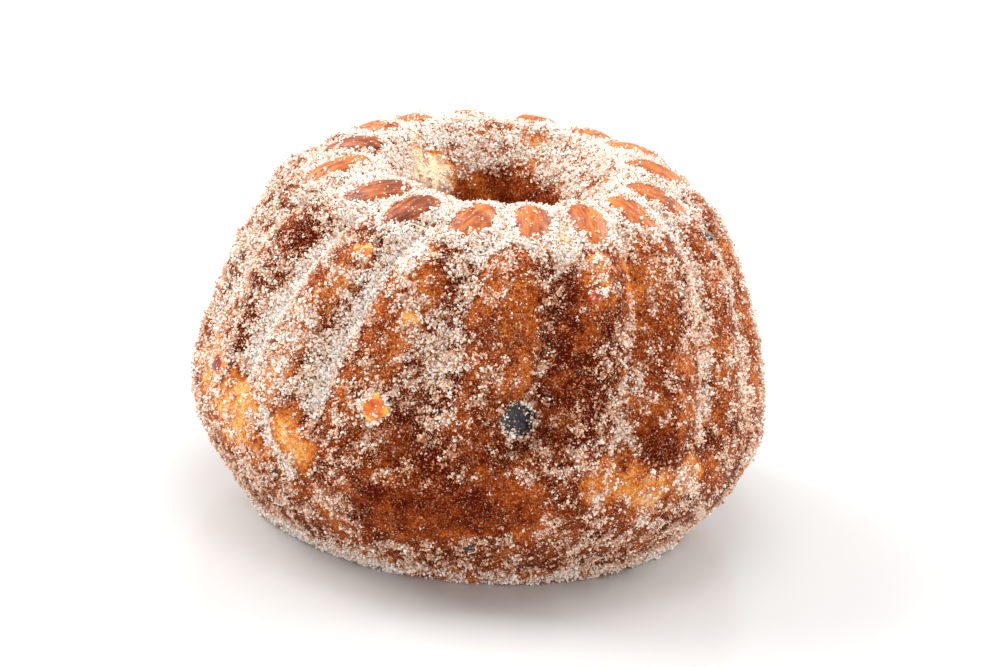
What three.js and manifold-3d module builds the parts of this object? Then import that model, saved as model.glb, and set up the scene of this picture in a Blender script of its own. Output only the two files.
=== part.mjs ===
// A kugelhopf: a tall ring cake, baked in a swirled fluted tin and turned out, so that the dough
// which rose over the tin's rim is now the foot. A whole almond sits at the top of every flute, and
// raisins and cubes of candied peel show in the crust.
//
// Millimetres, +Z up. The origin is on the table, on the axis of the ring. -Y is the front.

import * as THREE from "three";
import { mergeVertices } from "three/addons/utils/BufferGeometryUtils.js";
import { RoundedBoxGeometry } from "three/addons/geometries/RoundedBoxGeometry.js";
import Module from "manifold-3d";

// Driving dimensions

const CREST_HEIGHT = 116.5; // the top of the ring
const CREST_RADIUS = 46;
const SHOULDER_HEIGHT = 95; // where the flank turns in towards the crest
const SHOULDER_RADIUS = 77;
const WIDEST_HEIGHT = 39; // the belly of dough that rose over the tin
const WIDEST_RADIUS = 92.3;
const FOOT_RADIUS = 71; // the flat that the cake rests on
const NECK_HEIGHT = 93; // the hole: a funnel down to the neck, then a straight taper
const NECK_RADIUS = 25.5;
const HOLE_FOOT_RADIUS = 18;

const FLUTE_COUNT = 16;
const FLUTE_DEPTH = 6;
const FLUTE_SWIRL = THREE.MathUtils.degToRad(-17); // from the crest down to the belly
const FLUTE_PHASE = THREE.MathUtils.degToRad(-100); // the flute just left of the front
const FLUTE_FADE_LOW = 43; // the flutes run out into the belly between these heights
const FLUTE_FADE_HIGH = 58;

const BELLY_UNEVEN = 0.9; // how far the belly and the crest stray from a true ring
const CREST_UNEVEN = 1;

const ALMOND_LENGTH = 23;
const ALMOND_WIDTH = 13.4;
const ALMOND_THICKNESS = 8.4;
const ALMOND_RADIUS = 53; // the ring that the almonds' middles lie on
const ALMOND_HEIGHT = 111.6;
const ALMOND_SLOPE = THREE.MathUtils.degToRad(18);
const ALMOND_TIP = 0.3; // how much narrower the pointed half is than the round half

const RAISIN_SIZE = [11, 8.5, 7]; // along, across and through
const PEEL_SIZE = 9; // the edge of a cube of candied peel
const PEEL_ROUNDING = 1.4;
const RAISIN_DEPTH = 0.22; // how far under the crust the middle of a piece lies, as a share of its size
const PEEL_DEPTH = 0.35;
const POCKET_GAP = 0.3; // left open round everything that is set in the crust
const POCKET_OPENING = 2; // how much taller than its piece the outer half of a pocket is

// How finely the ring and the pieces in it are faceted

const COLUMNS_PER_FLUTE = 6;
const POINTS_PER_BEND = 5;
const ALMOND_SIDES = 8;
const ALMOND_RINGS = 6;
const RAISIN_SIDES = 8;
const RAISIN_RINGS = 6;

// How each almond lies: how far it has slid outwards (mm), how far it is turned from the spoke and how
// far it has moved round from the middle of its flute (degrees). They run anticlockwise from the front
// left flute.
const ALMOND_LIES = [
  [-2, -24, 2.5], [-2, -8, 1.5], [-0.5, -14, -0.5], [0, -10, -2],
  [0, -8, -3.5], [0, -12, 0], [3, -18, 1.5], [0.5, -8, -2],
  [0, -14, -1.5], [-0.5, -6, 0], [0.5, -16, -2], [-1.5, -10, -5],
  [-5, -14, 0], [-1, 8, -1.5], [-3.5, -36, 6.5], [-0.5, -22, 2.5],
];

// What is set in the flanks: its bearing in degrees from the front, positive to the right, its height,
// its size relative to the usual one and how far it is turned in the crust. The first ones face the
// front, and the rest go on round.
const RAISIN_PLACES = [
  { bearing: 9, height: 61, size: 1.45, turn: 20 },
  { bearing: 86, height: 98, size: 0.9, turn: 60 },
  { bearing: 151, height: 55, size: 1, turn: -30 },
  { bearing: -128, height: 84, size: 0.9, turn: 10 },
];
const PEEL_PLACES = [
  { bearing: -21, height: 61, size: 0.85, turn: 25 },
  { bearing: -66, height: 53, size: 0.75, turn: 10 },
  { bearing: 117, height: 70, size: 0.9, turn: 40 },
  { bearing: 178, height: 88, size: 0.8, turn: -20 },
  { bearing: -104, height: 48, size: 1, turn: 30 },
];

const wasm = await Module();
wasm.setup();

function finish(name, color, roughness) {
  return new THREE.MeshStandardMaterial({ name, color, roughness, metalness: 0 });
}

const crust = finish("crust", 0x9c5424, 0.5);
const almondSkin = finish("almond_skin", 0xb5622c, 0.45);
const raisinSkin = finish("raisin", 0x2a2226, 0.4);
const candiedPeel = finish("candied_peel", 0xe0791c, 0.3);

// The ring's cross-section, round from the hole's foot: under the cake, up the outside, over the crest
// and down the hole. The corner of each bend leans the way that the crust runs there.
function ringProfile() {
  const profile = new THREE.Path();
  profile.moveTo(HOLE_FOOT_RADIUS, 0);
  profile.lineTo(FOOT_RADIUS, 0);
  profile.bezierCurveTo(
    FOOT_RADIUS + 5, 8,
    WIDEST_RADIUS, WIDEST_HEIGHT - 16,
    WIDEST_RADIUS, WIDEST_HEIGHT,
  );
  profile.bezierCurveTo(
    WIDEST_RADIUS, WIDEST_HEIGHT + 14,
    SHOULDER_RADIUS + 8, SHOULDER_HEIGHT - 15,
    SHOULDER_RADIUS, SHOULDER_HEIGHT,
  );
  profile.bezierCurveTo(
    SHOULDER_RADIUS - 6, SHOULDER_HEIGHT + 11,
    CREST_RADIUS + 14, CREST_HEIGHT,
    CREST_RADIUS, CREST_HEIGHT,
  );
  profile.bezierCurveTo(
    CREST_RADIUS - 10, CREST_HEIGHT,
    NECK_RADIUS + 2.5, NECK_HEIGHT + 11,
    NECK_RADIUS, NECK_HEIGHT,
  );
  profile.lineTo(HOLE_FOOT_RADIUS, 0);
  return profile.getPoints(POINTS_PER_BEND);
}

// How strongly a point of the plain ring is fluted: not in the belly, and not inside the crest.
function fluting(radius, height) {
  const aboveBelly = THREE.MathUtils.smoothstep(height, FLUTE_FADE_LOW, FLUTE_FADE_HIGH);
  const outsideCrest = THREE.MathUtils.smoothstep(radius, CREST_RADIUS - 8, CREST_RADIUS + 14);
  return aboveBelly * outsideCrest;
}

// How far round the swirl has carried a point. It grows down the outside from the crest, and runs
// back to nothing under the foot, where the ring closes on the hole.
function swirl(radius, height) {
  if (height < 1e-6) {
    return FLUTE_SWIRL * THREE.MathUtils.inverseLerp(HOLE_FOOT_RADIUS, FOOT_RADIUS, radius);
  }
  if (radius < CREST_RADIUS) {
    return 0;
  }
  const fallen = CREST_HEIGHT - height + radius - CREST_RADIUS;
  const whole = CREST_HEIGHT - WIDEST_HEIGHT + WIDEST_RADIUS - CREST_RADIUS;
  return FLUTE_SWIRL * Math.min(1, fallen / whole);
}

// The section of a flute across one pitch: 1 on the rounded ridge, 0 in the sharp valley.
function ridge(bearing) {
  return Math.abs(Math.cos(((bearing - FLUTE_PHASE) * FLUTE_COUNT) / 2));
}

// The ring isn't quite true: the belly bulges here and there, and the crest is higher at the back.
function uneven(bearing, height) {
  const belly = Math.min(height, 2 * WIDEST_HEIGHT) / (2 * WIDEST_HEIGHT);
  const lower = Math.sin(Math.PI * belly);
  const upper = THREE.MathUtils.smoothstep(height, SHOULDER_HEIGHT, CREST_HEIGHT);
  const bulges = 0.6 * Math.sin(2 * bearing + 0.7) + 0.4 * Math.sin(5 * bearing + 2.1);
  const tilt = 0.7 * Math.sin(bearing) + 0.3 * Math.sin(5 * bearing);
  return { outwards: BELLY_UNEVEN * lower * bulges, upwards: CREST_UNEVEN * upper * tilt };
}

// The plain ring is turned, and each of its points is then pushed in by its flute and carried round
// by the swirl, so that the columns of facets follow the flutes.
function cakeGeometry() {
  const columns = FLUTE_COUNT * COLUMNS_PER_FLUTE;
  const ring = new THREE.LatheGeometry(ringProfile(), columns, FLUTE_PHASE + Math.PI / 2);
  ring.rotateX(Math.PI / 2);
  const point = new THREE.Vector3();
  const outward = new THREE.Vector3();
  const upright = new THREE.Vector3(0, 0, 1);
  const { position, normal } = ring.attributes;
  for (let i = 0; i < position.count; i++) {
    point.fromBufferAttribute(position, i);
    outward.fromBufferAttribute(normal, i);
    const bearing = Math.atan2(point.y, point.x);
    const radius = Math.hypot(point.x, point.y);
    const height = point.z;
    const stray = uneven(bearing, height);
    point.addScaledVector(outward, -FLUTE_DEPTH * (1 - ridge(bearing)) * fluting(radius, height));
    const wide = 1 + stray.outwards / WIDEST_RADIUS;
    point.set(point.x * wide, point.y * wide, point.z + stray.upwards);
    point.applyAxisAngle(upright, swirl(radius, height));
    position.setXYZ(i, point.x, point.y, point.z);
  }
  return ring;
}

// An almond lies along X, round end inwards and pointed end out, flat across Z.
function almondGeometry(grow) {
  const almond = new THREE.SphereGeometry(0.5, ALMOND_SIDES, ALMOND_RINGS);
  almond.rotateZ(-Math.PI / 2);
  const { position } = almond.attributes;
  for (let i = 0; i < position.count; i++) {
    const along = position.getX(i);
    const waist = 1 - ALMOND_TIP * along;
    position.setXYZ(
      i,
      along * (ALMOND_LENGTH + grow),
      position.getY(i) * waist * (ALMOND_WIDTH + grow),
      position.getZ(i) * waist * (ALMOND_THICKNESS + grow),
    );
  }
  return almond;
}

// A raisin is a plump, flattened bead.
function raisinGeometry(grow, size) {
  const raisin = new THREE.SphereGeometry(0.5, RAISIN_SIDES, RAISIN_RINGS);
  const [along, across, through] = RAISIN_SIZE;
  return raisin.scale(along * size + grow, across * size + grow, through * size + grow);
}

// Candied peel is a cube with melted edges.
function peelGeometry(grow, size) {
  const edge = PEEL_SIZE * size + grow;
  return new RoundedBoxGeometry(edge, edge, edge, 1, PEEL_ROUNDING);
}

// A closed geometry as a solid, in the frame that its mesh stands in.
function solid(geometry, matrix) {
  const bare = geometry.clone().applyMatrix4(matrix);
  bare.deleteAttribute("normal");
  bare.deleteAttribute("uv");
  const merged = mergeVertices(bare, 1e-3);
  const mesh = new wasm.Mesh({
    numProp: 3,
    vertProperties: new Float32Array(merged.attributes.position.array),
    triVerts: new Uint32Array(merged.index.array),
  });
  return new wasm.Manifold(mesh);
}

// A solid as a geometry again.
function geometryOf(manifold) {
  const mesh = manifold.getMesh();
  const geometry = new THREE.BufferGeometry();
  geometry.setAttribute("position", new THREE.BufferAttribute(mesh.vertProperties, 3));
  geometry.setIndex(new THREE.BufferAttribute(mesh.triVerts, 1));
  geometry.computeVertexNormals();
  return geometry;
}

// Stretches the outer half of a pocket, so that no crust roofs over what sits in it.
function openUp(pocket) {
  const { position } = pocket.attributes;
  for (let i = 0; i < position.count; i++) {
    const out = position.getZ(i);
    position.setZ(i, out > 0 ? out * POCKET_OPENING : out);
  }
  return pocket;
}

const kugelhopf = new THREE.Group();
const pockets = []; // a solid for each hollow that something sits in

// Adds a named piece, and the pocket that it needs in the crust.
function setInCrust(name, makeGeometry, material, holder) {
  const piece = new THREE.Mesh(makeGeometry(0), material);
  piece.name = name;
  holder.add(piece);
  kugelhopf.updateMatrixWorld(true);
  pockets.push(solid(openUp(makeGeometry(2 * POCKET_GAP)), piece.matrixWorld));
}

// The almonds: one to each flute, just outside the crest, turned a little with the swirl.
function addAlmonds() {
  ALMOND_LIES.forEach(([slide, turn, round], i) => {
    const spoke = new THREE.Group();
    spoke.rotation.z = FLUTE_PHASE + (i * 2 * Math.PI) / FLUTE_COUNT + THREE.MathUtils.degToRad(round);
    const lie = new THREE.Group();
    const bedded = uneven(spoke.rotation.z, ALMOND_HEIGHT).upwards - slide * Math.tan(ALMOND_SLOPE);
    lie.position.set(ALMOND_RADIUS + slide, 0, ALMOND_HEIGHT + bedded);
    lie.rotation.set(0, ALMOND_SLOPE, THREE.MathUtils.degToRad(turn), "YZX");
    spoke.add(lie);
    kugelhopf.add(spoke);
    setInCrust(`almond_${String(i + 1).padStart(2, "0")}`, almondGeometry, almondSkin, lie);
  });
}

// Raisins and peel: each lies flat in the flank, where a line from outside first meets the crust.
function addInclusions(name, places, makeGeometry, material, depth, ring) {
  const probe = new THREE.Raycaster();
  places.forEach(({ bearing, height, size, turn }, i) => {
    const angle = THREE.MathUtils.degToRad(bearing - 90);
    const inwards = new THREE.Vector3(-Math.cos(angle), -Math.sin(angle), 0);
    const outside = inwards.clone().multiplyScalar(-2 * WIDEST_RADIUS).setZ(height);
    probe.set(outside, inwards);
    const [hit] = probe.intersectObject(ring);
    const lie = new THREE.Group();
    lie.position.copy(hit.point).addScaledVector(hit.face.normal, -depth * size);
    lie.quaternion.setFromUnitVectors(new THREE.Vector3(0, 0, 1), hit.face.normal);
    lie.rotateZ(THREE.MathUtils.degToRad(turn));
    kugelhopf.add(lie);
    setInCrust(`${name}_${i + 1}`, (grow) => makeGeometry(grow, size), material, lie);
  });
}

const ring = new THREE.Mesh(cakeGeometry(), crust);
ring.updateMatrixWorld(true);

addAlmonds();
addInclusions("raisin", RAISIN_PLACES, raisinGeometry, raisinSkin, RAISIN_SIZE[2] * RAISIN_DEPTH, ring);
addInclusions("peel", PEEL_PLACES, peelGeometry, candiedPeel, PEEL_SIZE * PEEL_DEPTH, ring);

const uncut = solid(ring.geometry, ring.matrixWorld);
const hollowed = pockets.reduce((left, pocket) => left.subtract(pocket), uncut);
const cake = new THREE.Mesh(geometryOf(hollowed), crust);
cake.name = "cake";
kugelhopf.add(cake);

export default kugelhopf;
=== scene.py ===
# %% [markdown]
# A sugared kugelhopf
#
# A kugelhopf is a tall ring cake of yeast dough, baked in a swirled, fluted tin and turned out. Whole
# almonds lie on its crest, raisins and candied peel show in the crust, and it is rolled in coarse sugar
# while it is warm. The frame brings the measured solids. This lesson gives each of them a finer skin,
# bakes it, and then sugars it grain by grain.

# %% Load the frame
import math

import bmesh
import bpy
import numpy as np
from mathutils import Matrix, Vector, noise
from mathutils.bvhtree import BVHTree
from mathutils.geometry import interpolate_bezier


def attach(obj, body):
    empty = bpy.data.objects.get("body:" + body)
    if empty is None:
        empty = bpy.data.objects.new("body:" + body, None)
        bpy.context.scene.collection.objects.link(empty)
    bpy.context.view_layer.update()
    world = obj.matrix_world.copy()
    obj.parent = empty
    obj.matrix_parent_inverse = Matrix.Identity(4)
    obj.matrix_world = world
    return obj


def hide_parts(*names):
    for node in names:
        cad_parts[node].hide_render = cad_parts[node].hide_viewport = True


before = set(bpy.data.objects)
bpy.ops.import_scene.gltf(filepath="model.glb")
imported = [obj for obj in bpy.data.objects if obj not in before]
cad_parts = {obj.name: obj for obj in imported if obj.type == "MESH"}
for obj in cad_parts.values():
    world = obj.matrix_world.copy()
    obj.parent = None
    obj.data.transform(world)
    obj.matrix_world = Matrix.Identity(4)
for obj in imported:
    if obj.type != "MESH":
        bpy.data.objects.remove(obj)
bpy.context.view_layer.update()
rng = np.random.default_rng(16)
print("solids in the frame:", sorted(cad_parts))

# %% [markdown]
# The camera
#
# The cake is seen from a little above, through a long lens that keeps its sides upright, and the camera
# is tipped a few degrees. Aiming could be done with a Track To constraint. A look-at rotation worked out
# once leaves nothing live in the file, and the tip is then one more turn about the line of sight.

# %% Aim the camera
VIEW_DISTANCE = 1.467
VIEW_RISE = math.radians(20.5)
VIEW_TIP = math.radians(5.0)
VIEW_MIDDLE = Vector((0.0052, 0.0, 0.058))

camera_data = bpy.data.cameras.new("camera")
camera_data.sensor_width = 36
camera_data.lens = 162
camera = bpy.data.objects.new("camera", camera_data)
bpy.context.collection.objects.link(camera)
bpy.context.scene.camera = camera

to_viewer = Vector((0, -math.cos(VIEW_RISE), math.sin(VIEW_RISE)))
aim = to_viewer.to_track_quat("Z", "Y").to_matrix() @ Matrix.Rotation(VIEW_TIP, 3, "Z")
camera.matrix_world = Matrix.Translation(VIEW_MIDDLE + VIEW_DISTANCE * to_viewer) @ aim.to_4x4()
print("camera at", [round(c, 3) for c in camera.matrix_world.translation])

# %% [markdown]
# Light and floor
#
# The cake stands on a white, slightly glossy table in a bright room. The strongest softbox stands behind
# its left shoulder and lights the crest and the left side of every flute. Weaker ones behind the right
# shoulder and overhead brighten the other edge and the funnel, and a weak one low in front opens the
# shadow at the foot, so the front is the darkest side. Area lights give soft edges to the shadows without
# any tricks.

# %% Light the table
ROOM_LIGHT = 0.78
SOFTBOXES = [  # name, place, side in metres, power in watts
    ("softbox_left", (-1.00, 0.40, 0.90), 0.9, 26),
    ("softbox_right", (1.00, 0.60, 0.75), 0.9, 18),
    ("softbox_top", (0.00, 0.30, 1.40), 0.8, 8),
    ("softbox_front", (0.10, -1.50, 0.25), 1.0, 8),
]

world = bpy.data.worlds.new("room")
world.use_nodes = True
world.node_tree.nodes["Background"].inputs["Color"].default_value = (1, 0.99, 0.98, 1)
world.node_tree.nodes["Background"].inputs["Strength"].default_value = ROOM_LIGHT
bpy.context.scene.world = world
bpy.context.scene.view_settings.view_transform = "Standard"

for name, place, side, power in SOFTBOXES:
    light_data = bpy.data.lights.new(name, "AREA")
    light_data.size = side
    light_data.energy = power
    light = bpy.data.objects.new(name, light_data)
    towards = Vector(place).to_track_quat("Z", "Y").to_matrix().to_4x4()
    light.matrix_world = Matrix.Translation(place) @ towards
    bpy.context.collection.objects.link(light)
print("softboxes:", [name for name, *_ in SOFTBOXES])

# %% [markdown]
# Shader helpers
#
# Every finish below is a small tree of shader nodes. Seven helpers keep those trees short: one adds any
# node with its inputs, linked or plain, five add the nodes that are needed most, and the last starts a
# material. The table top is the first to use them.

# %% Helpers for shader trees
def add_node(tree, kind, inputs=None, **settings):
    """Adds a node. An input that is given a socket is linked, and any other input is set."""
    made = tree.nodes.new(kind)
    for name, value in settings.items():
        setattr(made, name, value)
    for key, value in (inputs or {}).items():
        if isinstance(value, bpy.types.NodeSocket):
            tree.links.new(value, made.inputs[key])
        else:
            made.inputs[key].default_value = value
    return made


def sum_of(tree, a, b, factor=1.0):
    """a + b * factor, as a socket."""
    return add_node(tree, "ShaderNodeMath", {0: b, 1: factor, 2: a}, operation="MULTIPLY_ADD").outputs[0]


def spread(tree, value, low, high, new_low=0.0, new_high=1.0):
    """Maps low..high to new_low..new_high, and holds what is outside."""
    ends = {"Value": value, "From Min": low, "From Max": high, "To Min": new_low, "To Max": new_high}
    return add_node(tree, "ShaderNodeMapRange", ends).outputs[0]


def blend_of(tree, factor, first, second):
    """A mix of two colours, as a socket."""
    return add_node(tree, "ShaderNodeMix", {0: factor, 6: first, 7: second}, data_type="RGBA").outputs[2]


def shades(tree, factor, stops):
    """A colour ramp through (position, colour) stops."""
    ramp = add_node(tree, "ShaderNodeValToRGB", {"Fac": factor})
    elements = ramp.color_ramp.elements
    while len(elements) < len(stops):
        elements.new(1.0)
    for element, (position, colour) in zip(elements, stops):
        element.position = position
        element.color = (*colour, 1)
    return ramp.outputs["Color"]


def speckle(tree, place, size, detail=2.0):
    """Soft noise of 0..1 with lumps of the given size in metres."""
    inputs = {"Vector": place, "Scale": 1 / size, "Detail": detail, "Roughness": 0.6}
    return add_node(tree, "ShaderNodeTexNoise", inputs).outputs["Fac"]


def new_finish(name):
    """A material, its tree and its Principled shader."""
    material = bpy.data.materials.new(name)
    material.use_nodes = True
    return material, material.node_tree, material.node_tree.nodes["Principled BSDF"]


print("shader helpers ready")

# %% Lay the floor
FLOOR_REACH = 4  # metres from its middle to an edge
TABLE_COLOUR, TABLE_ROUGHNESS = (0.595, 0.592, 0.588, 1), 0.2

floor_data = bpy.data.meshes.new("floor")
floor_shape = bmesh.new()
bmesh.ops.create_grid(floor_shape, x_segments=1, y_segments=1, size=FLOOR_REACH)
floor_shape.to_mesh(floor_data)
floor_shape.free()
floor = bpy.data.objects.new("floor", floor_data)
bpy.context.collection.objects.link(floor)

table_top, _, shader = new_finish("table_top")
shader.inputs["Base Color"].default_value = TABLE_COLOUR
shader.inputs["Roughness"].default_value = TABLE_ROUGHNESS
floor_data.materials.append(table_top)
print("floor laid,", 2 * FLOOR_REACH, "m wide")

# %% [markdown]
# The ring's section
#
# The cake is a ring, so it starts as one closed section: flat under the foot, out over the belly that
# rose above the tin, up the flank, over the crest and down the funnel. Each bend is a Bezier curve with
# the handles of the CAD section, and bmesh's spin turns it into a ring. A lathe made from a Screw
# modifier would look the same, but the points are needed as real mesh, to push them in and out. Closing the
# ring merges its two ends, which leaves the faces in another order on each run. The sugar is strewn face by
# face further on, so the faces are sorted, and every run gives the same cake.

# %% Spin the ring
BENDS = [  # first knot, its handle, the next handle, the next knot (radius and height), points on it
    ((0.018, 0), (0.036, 0), (0.053, 0), (0.071, 0), 12),
    ((0.071, 0), (0.076, 0.008), (0.0923, 0.023), (0.0923, 0.039), 36),
    ((0.0923, 0.039), (0.0923, 0.053), (0.085, 0.080), (0.077, 0.095), 52),
    ((0.077, 0.095), (0.071, 0.106), (0.060, 0.1165), (0.046, 0.1165), 36),
    ((0.046, 0.1165), (0.036, 0.1165), (0.028, 0.104), (0.0255, 0.093), 30),
    ((0.0255, 0.093), (0.023, 0.062), (0.0205, 0.031), (0.018, 0), 28),
]
COLUMNS = 480


def ring_section():
    section = []
    for *corners, count in BENDS:
        knots = [Vector((radius, 0, height)) for radius, height in corners]
        section += interpolate_bezier(*knots, count + 1)[:-1]
    return section


def put_faces_in_order(shape):
    """Sorts the faces of a shape by the numbers of their corners."""
    shape.verts.index_update()
    count = len(shape.verts)

    def order(face):
        numbers = sorted(vert.index for vert in face.verts)
        return (numbers[0] * count + numbers[1]) * count + numbers[-1]

    shape.faces.sort(key=order)
    shape.faces.index_update()


cake_shape = bmesh.new()
section = [cake_shape.verts.new(point) for point in ring_section()]
outline = [cake_shape.edges.new(pair) for pair in zip(section, section[1:] + section[:1])]
bmesh.ops.spin(
    cake_shape, geom=section + outline, cent=(0, 0, 0), axis=(0, 0, 1),
    angle=2 * math.pi, steps=COLUMNS, use_merge=True,
)
bmesh.ops.recalc_face_normals(cake_shape, faces=cake_shape.faces)
put_faces_in_order(cake_shape)
cake_mesh = bpy.data.meshes.new("cake_skin")
cake_shape.to_mesh(cake_mesh)
cake_shape.free()
cake_mesh.shade_smooth()
print("ring:", len(section), "points round the section,", len(cake_mesh.polygons), "faces")

# %% [markdown]
# Flutes, swirl and lumps
#
# The tin's flutes press sixteen valleys into the flank. They start outside the crest, run out in the
# belly, and turn with the swirl on the way down. Each point of the plain ring is pushed in along its
# normal by its flute, lumped by noise, and then carried round by the swirl, so the columns of faces
# follow the flutes. numpy moves all the points at once.

# %% Helpers for moving points
def points_of(mesh):
    flat = np.empty(3 * len(mesh.vertices))
    mesh.vertices.foreach_get("co", flat)
    return flat.reshape(-1, 3)


def normals_of(mesh):
    flat = np.empty(3 * len(mesh.vertices))
    mesh.vertex_normals.foreach_get("vector", flat)
    return flat.reshape(-1, 3)


def move_points(mesh, points):
    mesh.vertices.foreach_set("co", points.ravel())
    mesh.update()


def ease(value, low, high):
    """0 below low, 1 above high, and smooth between."""
    share = np.clip((value - low) / (high - low), 0, 1)
    return share * share * (3 - 2 * share)


def lumps(points, size, seed=0):
    """Smooth noise of about -1..1 in lumps of the given size."""
    shift = Vector((3.7, 1.9, 8.3)) * seed
    return np.array([noise.noise(Vector(point) / size + shift) for point in points])


print("helpers ready for", len(cake_mesh.vertices), "points")

# %% Flute the ring
FLUTES = 16
FLUTE_DEPTH = 0.0062
FLUTE_PHASE = math.radians(-100)
FLUTE_SWIRL = math.radians(-17)
FLUTE_END, FLUTE_FULL = 0.042, 0.056  # heights where the flutes run out and where they are full
CREST_RADIUS, CREST_HEIGHT = 0.046, 0.1165
WIDEST_RADIUS, WIDEST_HEIGHT = 0.0923, 0.039
HOLE_FOOT_RADIUS, FOOT_RADIUS = 0.018, 0.071
BELLY_UNEVEN, CREST_UNEVEN = 0.0009, 0.0010
SUGAR_BED = 0.0005  # how far the crest lies under its sugar

plain = points_of(cake_mesh)
outward = normals_of(cake_mesh)
bearing = np.arctan2(plain[:, 1], plain[:, 0])
radius = np.hypot(plain[:, 0], plain[:, 1])
height = plain[:, 2]

wander = math.radians(0.6) * np.sin(3 * bearing + 0.4) + math.radians(0.4) * np.sin(7 * bearing + 1.1)
ridge = np.abs(np.cos((bearing + wander - FLUTE_PHASE) * FLUTES / 2)) ** 0.9
run_out = 0.004 * np.sin(5 * bearing + 0.8) + 0.002 * np.sin(9 * bearing)
above_belly = ease(height, FLUTE_END + run_out, FLUTE_FULL + run_out)
fluted = above_belly * ease(radius, CREST_RADIUS - 0.006, CREST_RADIUS + 0.014)
valley = (1 - ridge) * fluted
deep = FLUTE_DEPTH * (1 + 0.15 * np.sin(2 * bearing + 1) + 0.12 * np.sin(5 * bearing))

fallen = CREST_HEIGHT - height + radius - CREST_RADIUS
whole_fall = CREST_HEIGHT - WIDEST_HEIGHT + WIDEST_RADIUS - CREST_RADIUS
swirl = FLUTE_SWIRL * np.clip(fallen / whole_fall, 0, 1) * (radius >= CREST_RADIUS - 1e-6)
under = (radius - HOLE_FOOT_RADIUS) / (FOOT_RADIUS - HOLE_FOOT_RADIUS)
swirl = np.where(height < 1e-6, FLUTE_SWIRL * under, swirl)
print("deepest valley:", round(1000 * float((deep * valley).max()), 1), "mm")

# %% Push the points
SKIN_LUMPS = [(0.0011, 0.022, 1), (0.0006, 0.009, 2), (0.00022, 0.0035, 3)]  # rise, size and seed
FOOT_LUMPS = (0.0009, 0.0045, 11)

lower = np.sin(np.pi * np.clip(height / (2 * WIDEST_HEIGHT), 0, 1))
belly = BELLY_UNEVEN * lower * (0.6 * np.sin(2 * bearing + 0.7) + 0.4 * np.sin(5 * bearing + 2.1))
upper = ease(height, 0.095, CREST_HEIGHT)
tilt = CREST_UNEVEN * upper * (0.7 * np.sin(bearing) + 0.3 * np.sin(5 * bearing)) - SUGAR_BED * upper
grounded = ease(height, 0, 0.004)

lumpy = sum(rise * lumps(plain, size, seed) for rise, size, seed in SKIN_LUMPS)
foot_rise, *foot_lumps = FOOT_LUMPS
lumpy = lumpy + foot_rise * lumps(plain, *foot_lumps) * ease(0.012 - height, 0, 0.008)
pushed = plain + outward * (grounded * lumpy - deep * valley)[:, None]
foot_edge = ease(0.006 - height, 0, 0.005) * ease(radius, FOOT_RADIUS - 0.006, FOOT_RADIUS - 0.001)
crumbly = 0.0008 * lumps(plain, 0.0032, 13) + 0.0006 * lumps(plain, 0.008, 14)
pushed[:, :2] *= (1 + belly / WIDEST_RADIUS + foot_edge * crumbly / FOOT_RADIUS)[:, None]
pushed[:, 2] += tilt
pushed[:, 2] = np.maximum(pushed[:, 2], 0)
turn_x, turn_y = np.cos(swirl), np.sin(swirl)
cake_points = np.stack([
    pushed[:, 0] * turn_x - pushed[:, 1] * turn_y,
    pushed[:, 0] * turn_y + pushed[:, 1] * turn_x,
    pushed[:, 2],
], axis=1)
move_points(cake_mesh, cake_points)
print("cake:", np.round(1000 * np.ptp(cake_points, axis=0), 1), "mm")

# %% [markdown]
# Patches
#
# No two places on a cake bake alike. Where it touched the tin it is mahogany, where the dough tore or was
# shaded it stays golden, and sugar slides off the smooth places. Those places are listed, as spots or as
# streaks along the flutes, each with a soft, ragged edge. The same list runs once more on the far side,
# turned half round.

# %% Find places on the skin
def near_skin(from_front, up, out=None):
    """The point at a bearing from the front in degrees and a height in mm, on the skin or further out."""
    around = math.radians(from_front - 90)
    reach = np.interp(up / 1000, outer_heights, outer_radii) if out is None else out / 1000
    return np.array([reach * math.cos(around), reach * math.sin(around), up / 1000])


def away_from(start, end):
    """How far each point of the skin is from the line between two places."""
    line = end - start
    share = np.clip((cake_points - start) @ line / max(line @ line, 1e-12), 0, 1)
    return np.linalg.norm(cake_points - start - share[:, None] * line, axis=1)


outer = [point for point in ring_section() if point.x >= CREST_RADIUS and point.z > 0]
outer_heights = [point.z for point in outer]
outer_radii = [point.x for point in outer]
print("the front of the belly is at", np.round(1000 * near_skin(0, 39), 1), "mm")

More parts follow.
